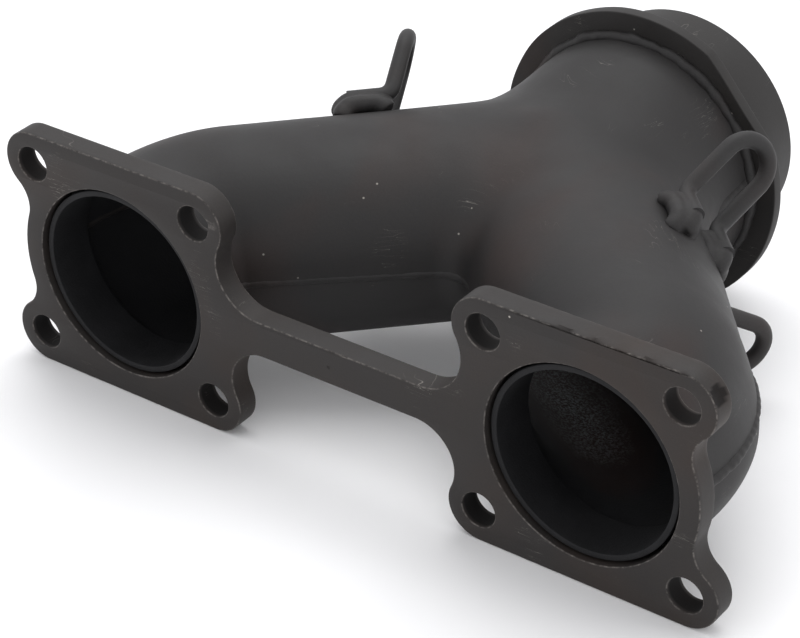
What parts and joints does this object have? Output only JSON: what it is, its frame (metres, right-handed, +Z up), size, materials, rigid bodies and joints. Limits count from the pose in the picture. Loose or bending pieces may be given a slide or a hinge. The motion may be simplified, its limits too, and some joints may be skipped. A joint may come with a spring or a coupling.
{
  "type": "exhaust manifold",
  "caption": "Two-into-one welded exhaust manifold: a twin-port bolt flange, a pressed Y-shaped body with spring hooks, and a round outlet spigot with a stop ring.",
  "frame": {"origin": "middle of the bridge between the two ports, on the face that meets the engine", "axes": "+X along the line of the ports, +Y with the gas flow from the engine to the outlet, +Z up"},
  "size_m": [0.203, 0.1504, 0.082],
  "materials": {
    "coated_plate": "matt heat-resistant black coating on laser-cut steel plate",
    "coated_sheet": "matt heat-resistant black coating on pressed steel sheet",
    "coated_outlet": "matt heat-resistant black coating on turned steel",
    "coated_wire": "matt heat-resistant black coating on bent steel wire",
    "coated_weld": "matt black coating over a weld bead",
    "sooty_sleeve": "soot-dark steel tube"
  },
  "bodies": {
    "root": {"port_flange": "coated_plate", "upper_shell": "coated_sheet", "lower_shell": "coated_sheet", "port_sleeve_left": "sooty_sleeve", "port_sleeve_right": "sooty_sleeve", "outlet_spigot": "coated_outlet", "stop_ring": "coated_outlet", "spring_hook_upper_left": "coated_wire", "spring_hook_upper_right": "coated_wire", "spring_hook_lower_left": "coated_wire", "spring_hook_lower_right": "coated_wire", "hook_weld_upper_left": "coated_weld", "hook_weld_upper_right": "coated_weld", "hook_weld_lower_left": "coated_weld", "hook_weld_lower_right": "coated_weld", "flange_weld_left": "coated_weld", "flange_weld_right": "coated_weld", "seam_weld_left": "coated_weld", "seam_weld_right": "coated_weld", "seam_weld_crotch": "coated_weld", "ring_weld": "coated_weld"}
  },
  "joints": []
}
